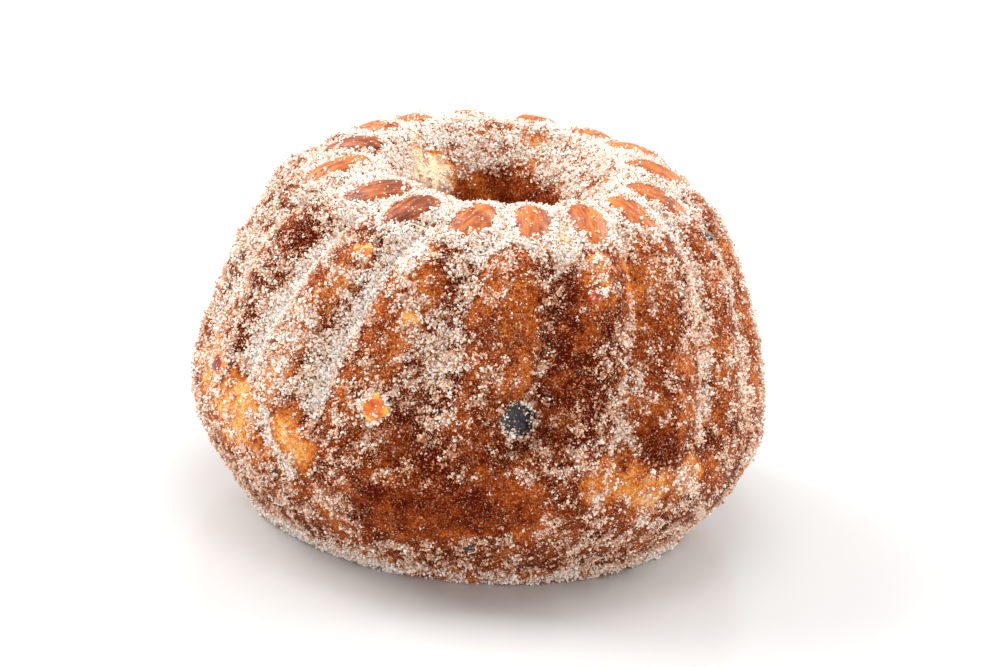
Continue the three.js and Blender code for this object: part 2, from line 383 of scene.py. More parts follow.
# %% List the patches
PATCHES = [  # bearing from the front in degrees and height in mm at both ends, reach, bake and sugar
    (-6, 44, -6, 44, 15, 0.98, 0.16),
    (-18, 27, 0, 33, 11, 0.84, 0.02),
    (9, 33, 9, 33, 11, 0.74, 0.06),
    (27, 44, 38, 39, 8, 0.40, 0.26),
    (48, 38, 48, 38, 8, 0.38, 0.36),
    (40, 52, 40, 52, 9, 0.92, 0.10),
    (-59, 47, -54, 40, 11, 0.31, 0.25),
    (-36, 40, -41, 47, 6, 0.40, 0.15),
    (-70, 52, -70, 52, 9, 0.40, 0.25),
    (-21, 105, -21, 105, 8, 0.60, 0.75),
    (9.5, 100, 7, 70, 8, 0.60, 0.18),
    (18.8, 97, 18, 70, 6, 0.95, 0.10),
    (-35, 102, -47, 55, 5.5, 0.50, 0.46),
    (-8, 103, -7, 64, 6.5, 0.98, 0.49),
    (-14, 101, -13, 98, 5, 0.62, 0.24),
    (-16, 91, -21, 72, 5, 0.68, 0.32),
    (-56, 103, -58, 99, 6, 1.00, 0.25),
    (-15, 50, -15, 50, 9, 0.92, 0.18),
    (47, 111, 41, 96, 8, 0.56, 0.20),
    (41, 94, 40, 82, 7, 0.72, 0.22),
    (50, 74, 52, 62, 8, 0.70, 0.20),
    (6, 76, 4, 62, 8, 0.80, 0.22),
    (29, 106, 28, 101, 5, 0.42, 0.40),
    (27.5, 98, 27.5, 98, 5, 0.62, 0.06),
    (-160, 115, -160, 115, 8, -0.10, 0.50),
]
FAR_SIDE = 183

ragged = 1 + 0.55 * lumps(cake_points, 0.009, 9) + 0.4 * lumps(cake_points, 0.0035, 10)
ragged += 0.3 * lumps(cake_points, 0.0018, 12)
patches = []
for turned in (0, FAR_SIDE):
    for from_front, up, to_front, to_up, reach, patch_bake, patch_sugar in PATCHES:
        away = away_from(near_skin(from_front + turned, up), near_skin(to_front + turned, to_up))
        near = 1 - ease(away * ragged / (reach / 1000), 0.55, 1.25)
        patches.append((near, patch_bake, patch_sugar))
print("patches:", len(PATCHES), "on each side")

# %% [markdown]
# Lip and crease
#
# At the back left, a lip of pale dough has swollen into the funnel and narrows it. Lower down, a crease
# runs out of a flute. Both push the skin by a soft hump.

# %% Shape the lip and the crease
LIP_PLACE, LIP_REACH = (-0.0225, 0.0190, 0.1035), 0.0085
LIP_PUSH = (0.0022, -0.0018, 0.0)
CREASE = [(-47.5, 48), (-44, 40), (-38.5, 31.5)]  # bearing from the front and height
CREASE_WIDTH, CREASE_DEPTH = 0.0022, 0.0022


def hump(start, end, reach):
    """1 along the line from start to end, and soon 0 away from it."""
    return np.exp(-((away_from(start, end) / reach) ** 2))


lip = hump(np.array(LIP_PLACE), np.array(LIP_PLACE), LIP_REACH)
cake_points = cake_points + lip[:, None] * LIP_PUSH
corners = [near_skin(*corner) for corner in CREASE]
crease = np.maximum(*(hump(*ends, CREASE_WIDTH) for ends in zip(corners, corners[1:])))
cake_points = cake_points - normals_of(cake_mesh) * (CREASE_DEPTH * crease)[:, None]
move_points(cake_mesh, cake_points)
print("points on the lip:", int((lip > 0.3).sum()), "and in the crease:", int((crease > 0.3).sum()))

# %% [markdown]
# Beds
#
# The almonds were pressed into the dough before it was baked, and the fruit was in it, so the crust fits
# round each piece. Near a piece the skin is drawn to one level: as far below the top of the piece as the
# piece stands out. An almond's own long, broad and thin ways come from the spread of its points. For
# fruit, which is about as broad as long, the way out of the crust is enough.

# %% Find where the pieces lie
def lie_of(almond):
    """An almond's middle, its long, broad and thin ways as rows, and its size along each."""
    points = points_of(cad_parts[almond].data)
    _, ways = np.linalg.eigh(np.cov((points - points.mean(axis=0)).T))
    long_way, thin_way = ways[:, 2], ways[:, 0]
    long_way = long_way * np.sign(long_way[:2] @ points.mean(axis=0)[:2])
    thin_way = thin_way * np.sign(thin_way[2])
    axes = np.stack([long_way, np.cross(thin_way, long_way), thin_way])
    along = points @ axes.T
    low, high = along.min(axis=0), along.max(axis=0)
    return (low + high) / 2 @ axes, axes, high - low


def seat_of(node):
    """A piece of fruit's middle, the way out of the crust there, its reach across it and its top."""
    points = points_of(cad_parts[node].data)
    middle = (points.min(axis=0) + points.max(axis=0)) / 2
    way_out = normals_of(cake_mesh)[np.linalg.norm(cake_points - middle, axis=1).argmin()]
    along = (points - middle) @ way_out
    across = np.linalg.norm(points - middle - along[:, None] * way_out, axis=1)
    return middle, way_out, across.max(), along.max()


lies = {node: lie_of(node) for node in sorted(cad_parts) if node.startswith("almond")}
seats = {node: seat_of(node) for node in sorted(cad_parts) if node.startswith(("raisin", "peel"))}
print("almonds:", len(lies), "and pieces of fruit:", list(seats))

# %% Bed the pieces
ALMOND_STANDS_OUT, RAISIN_STANDS_OUT, PEEL_STANDS_OUT = 0.0030, 0.0034, 0.0018
TIP_DIP = 0.0014  # how much lower the crust lies at the ends of the almonds on the left and right
BED_DEPTH = 0.025  # skin further off than this is on another side of the ring


def bed(middle, way_out, away, level):
    """Draws the skin to a level along the way out, all the way where away is under 1."""
    above = (cake_points - middle) @ way_out
    near = (1 - ease(away, 0.95, 1.7)) * (np.abs(above) < BED_DEPTH)
    return cake_points + (near * (level - above))[:, None] * way_out


under_pieces = np.zeros(len(cake_points), dtype=bool)
for middle, axes, size in lies.values():
    across = (cake_points - middle) @ axes[:2].T / (0.5 * size[:2])
    away = np.linalg.norm(across, axis=1)
    across = np.clip(across, -1, 1)
    dip = TIP_DIP * abs(middle[0]) / np.hypot(*middle[:2])
    cake_points = bed(middle, axes[2], away, 0.5 * size[2] - ALMOND_STANDS_OUT - dip * across[:, 0] ** 2)
    under_pieces |= np.linalg.norm((cake_points - middle) @ axes.T / (0.5 * size), axis=1) < 0.92
for node, (middle, way_out, reach, top) in seats.items():
    stands_out = RAISIN_STANDS_OUT if node.startswith("raisin") else PEEL_STANDS_OUT
    from_middle = cake_points - middle
    across = from_middle - (from_middle @ way_out)[:, None] * way_out
    cake_points = bed(middle, way_out, np.linalg.norm(across, axis=1) / reach, top - stands_out)
    under_pieces |= np.linalg.norm(cake_points - middle, axis=1) < 0.8 * reach
move_points(cake_mesh, cake_points)
print("points under the pieces:", int(under_pieces.sum()))

# %% [markdown]
# Bake and sugar
#
# Four numbers are stored at every point of the skin. bake runs from cream dough to mahogany crust, and the
# crust's colour reads it. sugar is how much of the skin is covered, and the crust's dusting reads it.
# loose_sugar is the same, but nothing under the almonds and the fruit, and the loose grains read it. A
# grain is clear, so on thinly sugared crust it takes on the crust's colour: grain_tint holds how much.
#
# Every lobe and every valley has its own sugar and bake, and zones and patches are laid over them. A lobe's
# right side gets more bake and its left side less: partly the crust's own colour, and partly painted shade
# on the right side and painted light on the left. Grains cling together, so half of the sugar lies in
# clumps: noise is ranked from 0 to 1, and clumps lie where the rank is below the share of sugar that the
# place is to have. Attributes on the mesh carry all four numbers, so nothing depends on the camera.

# %% List sugar and bake
LOBES = [  # sugar and bake of each lobe, anticlockwise from the one just left of the front
    (0.34, 0.86), (0.30, 0.78), (0.24, 0.90), (0.32, 0.80), (0.36, 0.78), (0.38, 0.78), (0.32, 0.84),
    (0.42, 0.78), (0.36, 0.86), (0.44, 0.82), (0.32, 0.76), (0.40, 0.84), (0.36, 0.82), (0.42, 0.80),
    (0.38, 0.87), (0.42, 0.88),
]
VALLEYS = [  # the same for the valley that follows each lobe
    (0.36, 0.84), (0.26, 0.90), (0.54, 0.68), (0.54, 0.64), (0.62, 0.64), (0.56, 0.66), (0.64, 0.74),
    (0.40, 0.84), (0.64, 0.74), (0.34, 0.90), (0.70, 0.74), (0.56, 0.76), (0.50, 0.80), (0.82, 0.74),
    # The last valley's bake of 0.94 is raised as painted shade, to darken the crust between its grains
    # where the valley lies in shadow.
    (0.98, 0.72), (0.84, 0.94),
]
BELLY_SUGAR, BELLY_BAKE = 0.29, 0.81
CREST_SUGAR, CREST_BAKE = 0.76, 0.78
FUNNEL_SUGAR, FUNNEL_BAKE = 0.64, 0.66
# The hole's bake is partly the crust's own brown and partly painted shade deep in the hole.
HOLE_SUGAR, HOLE_BAKE_AND_SHADE = 0.04, 0.74
FOOT_SUGAR, FOOT_BAKE = 0.58, 0.62
LIP_SUGAR, LIP_BAKE = 0.28, -0.12
CREASE_SUGAR, CREASE_BAKE = 0.95, 0.55
# Part of this bake is painted shade on a lobe's right side and painted light on its left side.
RIGHT_SIDE_SUGAR, RIGHT_SIDE_BAKE_AND_SHADE = 0.08, 0.09  # more on a lobe's right side, and less on its left
print("lobes:", len(LOBES), "and valleys:", len(VALLEYS))

# %% Spread sugar and bake over the skin
FOOT_UNEVEN = 0.35

flute = (bearing + wander - FLUTE_PHASE) * FLUTES / (2 * math.pi)
lobe = np.array(LOBES)[np.round(flute).astype(int) % FLUTES]
groove = np.array(VALLEYS)[np.floor(flute).astype(int) % FLUTES]
in_groove = ease(1 - ridge, 0.42, 0.78)[:, None]
# right_side is partly real sugar and bake, and partly painted shade on the right and painted light on the
# left of each lobe.
right_side = np.sin(2 * math.pi * flute)[:, None] * (1 - in_groove)
flank = lobe + (groove - lobe) * in_groove + right_side * (RIGHT_SIDE_SUGAR, RIGHT_SIDE_BAKE_AND_SHADE)
on_flank = ease(height, 0.046, 0.058)[:, None]
covered = np.array([BELLY_SUGAR, BELLY_BAKE]) * (1 - on_flank) + flank * on_flank
inside = radius < CREST_RADIUS
hole_top = 0.098 + 0.010 * np.abs(np.sin(bearing))
in_hole = inside * ease(hole_top - height, 0, 0.008)
crest_foot = 0.103 + 0.006 * ridge
foot_sugar = FOOT_SUGAR + FOOT_UNEVEN * lumps(cake_points, 0.016, 15)
zones = [  # where each zone lies, and its sugar and bake
    (ease(height - crest_foot, 0, 0.006) * ease(radius, 0.036, 0.042), CREST_SUGAR, CREST_BAKE),
    (inside * ease(CREST_RADIUS - radius, 0.002, 0.010), FUNNEL_SUGAR, FUNNEL_BAKE),
    # the hole: its darker crust is partly painted shade
    (in_hole, HOLE_SUGAR, HOLE_BAKE_AND_SHADE),
    (ease(0.008 - height, 0, 0.005), foot_sugar, FOOT_BAKE),
]
sugar, bake = covered.T
for near, zone_sugar, zone_bake in zones:
    sugar = sugar + (zone_sugar - sugar) * near
    bake = bake + (zone_bake - bake) * near
patches.append((ease(lip, 0.10, 0.55), LIP_BAKE, LIP_SUGAR))
patches.append((ease(crease, 0.3, 0.7), CREASE_BAKE, CREASE_SUGAR))
for near, patch_bake, patch_sugar in patches:
    bake = bake + (patch_bake - bake) * near
    sugar = sugar + (patch_sugar - sugar) * near
print("zones:", len(zones), "and patches:", len(patches))

# %% Store bake and sugar
BLOTCHING = 0.20
GRAIN_TINT = 0.75  # how much of the crust's colour a lone grain takes on
CLUMPING = 0.5  # how much of the sugar lies in clumps


def store(mesh, name, values):
    """Keeps a number at every point of a mesh."""
    layer = mesh.attributes.new(name, "FLOAT", "POINT")
    layer.data.foreach_set("value", np.ascontiguousarray(values, dtype=np.float32))


blotches = lumps(cake_points, 0.014, 4) + 0.7 * lumps(cake_points, 0.005, 5)
bake = np.clip(bake + BLOTCHING * blotches, 0, 1)
grain_tint = GRAIN_TINT * (1 - np.clip(sugar, 0, 1)) ** 1.2 * (0.3 + 0.7 * bake)
clumpy = 0.7 * lumps(cake_points, 0.010, 6) + lumps(cake_points, 0.0040, 7) + lumps(cake_points, 0.0022, 8)
rank = clumpy.argsort().argsort() / len(clumpy)
clumped = ease(1.3 * sugar - 0.15 - rank, -0.15, 0.15)
sugar = np.clip(sugar + CLUMPING * (clumped - sugar), 0, 1)
sugar = sugar * ease(normals_of(cake_mesh)[:, 2], -0.95, -0.75)

loose_sugar = np.where(under_pieces, 0, sugar)
store(cake_mesh, "bake", bake)
store(cake_mesh, "sugar", sugar)
store(cake_mesh, "loose_sugar", loose_sugar)
store(cake_mesh, "grain_tint", grain_tint)
print("mean bake", round(float(bake.mean()), 2), "and mean sugar", round(float(sugar.mean()), 2))

# %% Put the cake in place
def add_piece(name, mesh, node=None):
    """Puts a mesh on the cake's body, and in place of its CAD node if it has one."""
    piece = bpy.data.objects.new(name, mesh)
    bpy.context.collection.objects.link(piece)
    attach(piece, "root")
    if node:
        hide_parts(node)
    return piece


cake = add_piece("cake_skin", cake_mesh, "cake")
cake_faces = [tuple(face.vertices) for face in cake_mesh.polygons]
cake_tree = BVHTree.FromPolygons(cake_points.tolist(), cake_faces)
print("cake in place, with", len(cake_faces), "faces")

# %% [markdown]
# Dusting of sugar
#
# Between the grains that can be told apart there is a crust of finer ones. They are too many to model,
# so a shader group draws them: a Voronoi texture breaks the surface into grain-sized cells, and a cell is
# sugar if its random number is under the amount that the surface asks for. Its darker, tan cells are partly
# crust seen through thin sugar and partly painted shade between the grains. The crust, the almonds and
# the fruit all use the same group.

# %% Make the dusting group
# The dark, tan cells are partly crust seen through thin sugar and partly painted shade in the gaps between
# grains.
DUST_AND_GAP_SHADE_COLOURS = [
    (0.0, (0.46, 0.25, 0.14)),
    (0.4, (0.76, 0.55, 0.40)),
    (1.0, (0.93, 0.83, 0.73)),
]


def make_dusting():
    tree = bpy.data.node_groups.new("sugar_dusting_and_gap_shade", "ShaderNodeTree")
    for name, kind in (("Place", "Vector"), ("Amount", "Float"), ("Grain", "Float")):
        tree.interface.new_socket(name, in_out="INPUT", socket_type=f"NodeSocket{kind}")
    for name, kind in (("Cover", "Float"), ("Height", "Float"), ("Colour", "Color")):
        tree.interface.new_socket(name, in_out="OUTPUT", socket_type=f"NodeSocket{kind}")
    given = tree.nodes.new("NodeGroupInput").outputs
    cells = add_node(tree, "ShaderNodeTexVoronoi", {"Vector": given["Place"], "Scale": given["Grain"]})
    draw = add_node(tree, "ShaderNodeSeparateColor", {"Color": cells.outputs["Color"]}).outputs
    shortfall = sum_of(tree, draw["Red"], given["Amount"], -1.0)
    chosen = spread(tree, shortfall, -0.04, 0.04, 1.0, 0.0)
    dome = spread(tree, cells.outputs["Distance"], 0.15, 0.75, 1.0, 0.0)
    thickness = spread(tree, given["Amount"], 0.1, 0.9, 0.45, 0.90)
    cover = add_node(tree, "ShaderNodeMath", {0: chosen, 1: thickness}, operation="MULTIPLY").outputs[0]
    rise = add_node(tree, "ShaderNodeMath", {0: chosen, 1: dome}, operation="MULTIPLY").outputs[0]
    # Cell colour: partly sugar and crust, partly painted shade between grains.
    colour = shades(tree, draw["Green"], DUST_AND_GAP_SHADE_COLOURS)
    put = tree.nodes.new("NodeGroupOutput").inputs
    tree.links.new(cover, put["Cover"])
    tree.links.new(rise, put["Height"])
    tree.links.new(colour, put["Colour"])
    return tree


dusting = make_dusting()
print("dusting group with", len(dusting.nodes), "nodes")

# %% Place the dusting group
GRAINS_PER_METRE, SPECKS_AND_GLINTS_PER_METRE = 1500, 3200


def place_dusting(tree, place, amount, grain=GRAINS_PER_METRE):
    """Adds the group to a material's tree, with the amount of sugar and the grains to a metre."""
    group = add_node(tree, "ShaderNodeGroup", node_tree=dusting)
    tree.links.new(place, group.inputs["Place"])
    tree.links.new(amount, group.inputs["Amount"])
    group.inputs["Grain"].default_value = grain
    return group.outputs


print("a grain of dusting is", round(1000 / GRAINS_PER_METRE, 2), "mm across")

# %% [markdown]
# Crust
#
# The crust goes from cream through gold and orange to mahogany. A ramp gives those colours from the bake
# attribute, shifted by blotches and by a fine grain, and a bump gives the wrinkled skin. Light flecks over
# it are partly fine sugar and partly painted pin-prick highlights. Its gloss is kept very low, so that the
# dark crust stays dark under the softboxes.

# %% Finish the crust
CRUST_SHADES = [
    (0.00, (0.90, 0.75, 0.52)),
    (0.22, (0.76, 0.36, 0.095)),
    (0.45, (0.57, 0.150, 0.018)),
    (0.70, (0.26, 0.042, 0.005)),
    (1.00, (0.068, 0.004, 0.0005)),
]
# These flecks are partly fine sugar in the crust and partly painted pin-prick highlights.
SPECK_AND_GLINT_COLOUR = (0.78, 0.46, 0.26, 1)  # a fleck of sugar that has melted into the crust

crust, tree, shader = new_finish("crust")
place = add_node(tree, "ShaderNodeTexCoord").outputs["Object"]
bake_value = add_node(tree, "ShaderNodeAttribute", attribute_name="bake").outputs["Fac"]
sugar_value = add_node(tree, "ShaderNodeAttribute", attribute_name="sugar").outputs["Fac"]
blotch = spread(tree, speckle(tree, place, 0.006, 5), 0.25, 0.75, -0.17, 0.17)
flat_place = add_node(tree, "ShaderNodeMapping", {"Vector": place, "Scale": (1, 1, 1.5)}).outputs["Vector"]
pores = speckle(tree, flat_place, 0.0016, 4)
grain = spread(tree, pores, 0.3, 0.7, 0.14, -0.14)
fine_grain = spread(tree, speckle(tree, place, 0.0007, 1), 0.3, 0.7, 0.13, -0.13)
baked = sum_of(tree, sum_of(tree, sum_of(tree, bake_value, blotch), grain), fine_grain)
crust_colour = shades(tree, baked, CRUST_SHADES)
# Light flecks: partly fine sugar, partly painted pin-prick highlights on the crust.
specks_and_glints = place_dusting(tree, place, spread(tree, sugar_value, 0.0, 0.5, 0.06, 0.30), SPECKS_AND_GLINTS_PER_METRE)
specked = blend_of(tree, specks_and_glints["Cover"], crust_colour, SPECK_AND_GLINT_COLOUR)
dust = place_dusting(tree, place, spread(tree, sugar_value, 0.22, 0.95, 0.0, 0.75))
tree.links.new(blend_of(tree, dust["Cover"], specked, dust["Colour"]), shader.inputs["Base Color"])
roughness = spread(tree, speckle(tree, place, 0.004), 0.3, 0.7, 0.30, 0.50)
tree.links.new(sum_of(tree, roughness, dust["Cover"], 0.25), shader.inputs["Roughness"])
wrinkles = sum_of(tree, sum_of(tree, pores, specks_and_glints["Height"], 0.4), dust["Height"], 0.8)
bump = add_node(tree, "ShaderNodeBump", {"Height": wrinkles, "Strength": 0.7, "Distance": 0.0004})
tree.links.new(bump.outputs["Normal"], shader.inputs["Normal"])
shader.inputs["Specular IOR Level"].default_value = 0.02
cake_mesh.materials.append(crust)
print("crust finished with", len(tree.nodes), "nodes")

# %% [markdown]
# Almonds
#
# An almond is a flattened drop: round at one end, pointed at the other, with fine ridges along its skin.
# A UV sphere is squeezed into that shape, with its poles at the two ends, so its columns already run
# lengthwise and can carry the ridges. Each one takes its place from its CAD node: the node's long, broad
# and thin directions are found from its own points.

# %% Shape the almonds
ALMOND_SIDES, ALMOND_RINGS = 56, 32
ALMOND_TIP = 0.3
ALMOND_TONES = [  # darker below zero, in the order of the nodes
    -0.06, -0.06, -0.02, 0.00, -0.10, -0.05, 0.04, -0.04,
    -0.05, -0.05, -0.08, -0.06, -0.22, 0.00, -0.24, -0.22,
]


def almond_mesh(name, seed):
    """An almond of unit size along X, with the ridges of its skin."""
    shape = bmesh.new()
    bmesh.ops.create_uvsphere(shape, u_segments=ALMOND_SIDES, v_segments=ALMOND_RINGS, radius=0.5)
    bmesh.ops.rotate(shape, verts=shape.verts, matrix=Matrix.Rotation(math.pi / 2, 3, "Y"))
    put_faces_in_order(shape)
    mesh = bpy.data.meshes.new(name)
    shape.to_mesh(mesh)
    shape.free()
    mesh.shade_smooth()
    points = points_of(mesh)
    ridges = lumps(points * (0.25, 1, 1), 0.055, seed) + 0.5 * lumps(points * (0.15, 1, 1), 0.025, seed + 1)
    dents = lumps(points, 0.35, seed + 2)
    swell = 1 + 0.016 * ridges + 0.035 * dents
    swell = swell - ALMOND_TIP * points[:, 0] - 0.35 * np.clip(points[:, 0], 0, 1) ** 2
    points[:, 1:] *= swell[:, None]
    move_points(mesh, points)
    return mesh


print("an almond has", ALMOND_SIDES * ALMOND_RINGS, "faces")

# %% Place the almonds
almonds = []
for number in range(1, FLUTES + 1):
    name = f"almond_{number:02d}"
    middle, axes, size = lies[name]
    mesh = almond_mesh(f"{name}_skin", number)
    local = points_of(mesh)
    move_points(mesh, local * size @ axes + middle)
    lengthwise = mesh.attributes.new("lengthwise", "FLOAT_VECTOR", "POINT")
    lengthwise.data.foreach_set("vector", (local * size + (0, 0, number)).ravel().astype(np.float32))
    store(mesh, "tone", np.full(len(local), ALMOND_TONES[number - 1]))
    almonds.append(add_piece(f"{name}_skin", mesh, name))
print("almonds:", len(almonds), "of", len(almonds[0].data.polygons), "faces")

# %% [markdown]
# Sugar on the almonds
#
# The grains lie thickest where an almond meets the crust, and thin out on its back. The nearest point of
# the crust gives how far each point of the almond stands out of it, and what is below gets none.

# %% Sugar the almonds
def sugar_by_height(piece, low_sugar, high_sugar, reach, tint, seed):
    """Stores a piece's sugar: low_sugar at the crust, and high_sugar where it stands out by reach."""
    points = points_of(piece.data)
    out = np.empty(len(points))
    for index, point in enumerate(points):
        spot, normal, _, _ = cake_tree.find_nearest(point)
        out[index] = (Vector(point) - spot).dot(normal)
    amount = high_sugar + (low_sugar - high_sugar) * (1 - ease(out, 0, reach))
    patchy = 0.5 * lumps(points, 0.004, seed) + 0.25 * lumps(points, 0.0015, seed + 1)
    amount = np.clip(amount + patchy * (0.35 + 0.65 * (1 - ease(out, 0, reach))), 0, 1)
    store(piece.data, "grain_tint", np.full(len(points), tint))
    store(piece.data, "sugar", amount * 0.6)
    store(piece.data, "loose_sugar", amount * (out > -0.0003))
    print(piece.name, "stands out", round(1000 * float(out.max()), 1), "mm")


ALMOND_SUGAR = (0.95, 0.05, 0.0019, 0.05)  # low and high sugar, reach and tint

for number, almond in enumerate(almonds):
    sugar_by_height(almond, *ALMOND_SUGAR, 20 + number)
print("almonds sugared")

# %% [markdown]
# Almond skin
#
# The skin is thin, papery and ridged: orange brown, with darker lines from end to end. A noise that is
# stretched along the almond draws them. It reads the lengthwise attribute, which holds each point's place
# along, across and through its own almond.

# %% Finish the almond skin
ALMOND_SHADES = [
    (0.15, (0.13, 0.022, 0.005)),
    (0.38, (0.36, 0.080, 0.014)),
    (0.60, (0.58, 0.165, 0.026)),
    (0.85, (0.74, 0.290, 0.060)),
]

almond_skin, tree, shader = new_finish("almond_skin")
place = add_node(tree, "ShaderNodeTexCoord").outputs["Object"]
along = add_node(tree, "ShaderNodeAttribute", attribute_name="lengthwise").outputs["Vector"]
drawn_out = add_node(tree, "ShaderNodeMapping", {"Vector": along, "Scale": (0.12, 1, 1)}).outputs["Vector"]
lines = speckle(tree, drawn_out, 0.0011, 3)
mottle = spread(tree, speckle(tree, along, 0.006, 2), 0.25, 0.75, -0.2, 0.2)
own_tone = add_node(tree, "ShaderNodeAttribute", attribute_name="tone").outputs["Fac"]
skin_colour = shades(tree, sum_of(tree, sum_of(tree, lines, mottle), own_tone), ALMOND_SHADES)
sugar_value = add_node(tree, "ShaderNodeAttribute", attribute_name="sugar").outputs["Fac"]
dust = place_dusting(tree, place, sugar_value)
tree.links.new(blend_of(tree, dust["Cover"], skin_colour, dust["Colour"]), shader.inputs["Base Color"])
tree.links.new(spread(tree, lines, 0.2, 0.8, 0.50, 0.32), shader.inputs["Roughness"])
skin_height = sum_of(tree, lines, dust["Height"], 1.2)
bump = add_node(tree, "ShaderNodeBump", {"Height": skin_height, "Strength": 0.7, "Distance": 0.0004})
tree.links.new(bump.outputs["Normal"], shader.inputs["Normal"])
shader.inputs["Specular IOR Level"].default_value = 0.25
for almond in almonds:
    almond.data.materials.append(almond_skin)
print("almond skin finished with", len(tree.nodes), "nodes")

# %% [markdown]
# Raisins and peel
#
# A raisin is a soft bead with deep wrinkles, and a cube of candied peel has melted edges and a pitted,
# glassy face. Both start from a copy of their CAD node, so they stay in its pocket: the copy's loose
# triangles are merged, subdivided and smoothed, and noise then pushes the points in and out.

# %% Helpers for the fruit
def soften(shape, cuts, rounds):
    """Cuts a shape finer and rounds its edges."""
    bmesh.ops.subdivide_edges(shape, edges=shape.edges, cuts=cuts, use_grid_fill=True)
    for _ in range(rounds):
        bmesh.ops.smooth_vert(
            shape, verts=shape.verts, factor=0.5, use_axis_x=True, use_axis_y=True, use_axis_z=True,
        )


def refined(node, cuts, rounds):
    """A finer copy of a CAD node's mesh, with rounded edges."""
    shape = bmesh.new()
    shape.from_mesh(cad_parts[node].data)
    bmesh.ops.remove_doubles(shape, verts=shape.verts, dist=1e-5)
    soften(shape, cuts, rounds)
    mesh = bpy.data.meshes.new(f"{node}_skin")
    shape.to_mesh(mesh)
    shape.free()
    mesh.shade_smooth()
    return mesh


print("helpers ready for", len(seats), "pieces of fruit")

# %% Shape the raisins and the peel
FRUIT_CUTS = {"raisin": 5, "peel": 4}
FRUIT_SUGAR = {  # low and high sugar, reach and tint
    "raisin": (0.60, 0.09, 0.0014, 0.10),
    "peel": (0.95, 0.10, 0.0016, 0.05),
}
PIECE_TONES = {"peel_2": -0.48, "peel_4": -0.20, "peel_5": 0.0}  # redder below zero, yellower above
USUAL_TONE = -0.12

fruit = []
for node, (middle, way_out, reach, _) in seats.items():
    kind = node.split("_")[0]
    mesh = refined(node, FRUIT_CUTS[kind], 3)
    points, away = points_of(mesh), normals_of(mesh)
    seed = len(fruit) + 50
    if kind == "raisin":
        folds = (1 - np.abs(lumps(points, 0.0032, seed))) ** 4
        push = 0.0004 - 0.0011 * folds + 0.0003 * lumps(points, 0.0015, seed)
    else:
        push = 0.0003 + 0.0004 * lumps(points, 0.003, seed) + 0.00015 * lumps(points, 0.001, seed)
    move_points(mesh, points + away * push[:, None])
    piece = add_piece(f"{node}_skin", mesh, node)
    sugar_by_height(piece, *FRUIT_SUGAR[kind], seed)
    across = np.linalg.norm(np.cross(points - middle, way_out), axis=1) / reach
    store(mesh, "tone", PIECE_TONES.get(node, USUAL_TONE) + 0.5 * ease(across, 0.52, 0.82))
    fruit.append(piece)
print("fruit:", [piece.name for piece in fruit])

# %% Finish the raisins and the peel
def fruit_finish(name, stops, size, rough, bump_depth):
    """A finish whose colour and bump come from soft noise under a dusting of sugar."""
    material, tree, shader = new_finish(name)
    place = add_node(tree, "ShaderNodeTexCoord").outputs["Object"]
    cloud = speckle(tree, place, size, 4)
    tone = add_node(tree, "ShaderNodeAttribute", attribute_name="tone").outputs["Fac"]
    toned = sum_of(tree, cloud, tone)
    sugar_value = add_node(tree, "ShaderNodeAttribute", attribute_name="sugar").outputs["Fac"]
    dust = place_dusting(tree, place, sugar_value)
    colour = blend_of(tree, dust["Cover"], shades(tree, toned, stops), dust["Colour"])
    tree.links.new(colour, shader.inputs["Base Color"])
    tree.links.new(spread(tree, cloud, 0.3, 0.7, rough, rough + 0.2), shader.inputs["Roughness"])
    rise = sum_of(tree, cloud, dust["Height"])
    bump = add_node(tree, "ShaderNodeBump", {"Height": rise, "Strength": 0.7, "Distance": bump_depth})
    tree.links.new(bump.outputs["Normal"], shader.inputs["Normal"])
    return material, shader


RAISIN_SHADES = [(0.30, (0.006, 0.005, 0.008)), (0.70, (0.035, 0.026, 0.034))]
PEEL_SHADES = [
    (0.00, (0.20, 0.020, 0.014)),
    (0.28, (0.66, 0.100, 0.008)),
    (0.52, (0.82, 0.230, 0.014)),
    (0.80, (0.92, 0.480, 0.060)),
]

raisin_skin, _ = fruit_finish("raisin_skin", RAISIN_SHADES, 0.0016, 0.25, 0.0005)
candied_peel, shader = fruit_finish("candied_peel", PEEL_SHADES, 0.0022, 0.12, 0.0003)
shader.inputs["Subsurface Weight"].default_value = 0.35
shader.inputs["Subsurface Radius"].default_value = (0.004, 0.0015, 0.0004)
for piece in fruit:
    piece.data.materials.append(raisin_skin if piece.name.startswith("raisin") else candied_peel)
print("fruit finished")

# %% [markdown]
# Small bits of fruit
#
# Besides the whole pieces, crumbs of peel and raisin of a few millimetres show in the crust. Each is a
# small block with its edges melted away, set where a line from outside meets the skin, and all bits of a
# kind are joined in one mesh.

# %% Set the small bits
PEEL_BITS = [  # bearing from the front in degrees, height and size in mm, and tone
    (-16.5, 89, 6.2, 0.18), (-34, 103, 6.0, 0.08), (-78, 49, 7.0, 0.20), (49.5, 34, 6.4, 0.22),
    (27.5, 98, 6.4, -0.36), (97, 60, 5.6, 0.10), (140, 88, 5.0, -0.30), (-152, 66, 6.2, 0.20),
    (166, 40, 5.6, 0.10), (-118, 94, 5.4, -0.10),
]
RAISIN_BITS = [  # the same for raisins
    (0.5, 18, 5.4, 0), (-43, 30, 4.6, 0), (-136, 30, 5.0, 0), (108, 32, 5.0, 0), (-170, 100, 4.4, 0),
]
BIT_SUGAR = (0.5, 0.08, 0.001)  # low and high sugar, and reach
BIT_SINK = 0.26  # how far its middle lies under the skin, in sizes


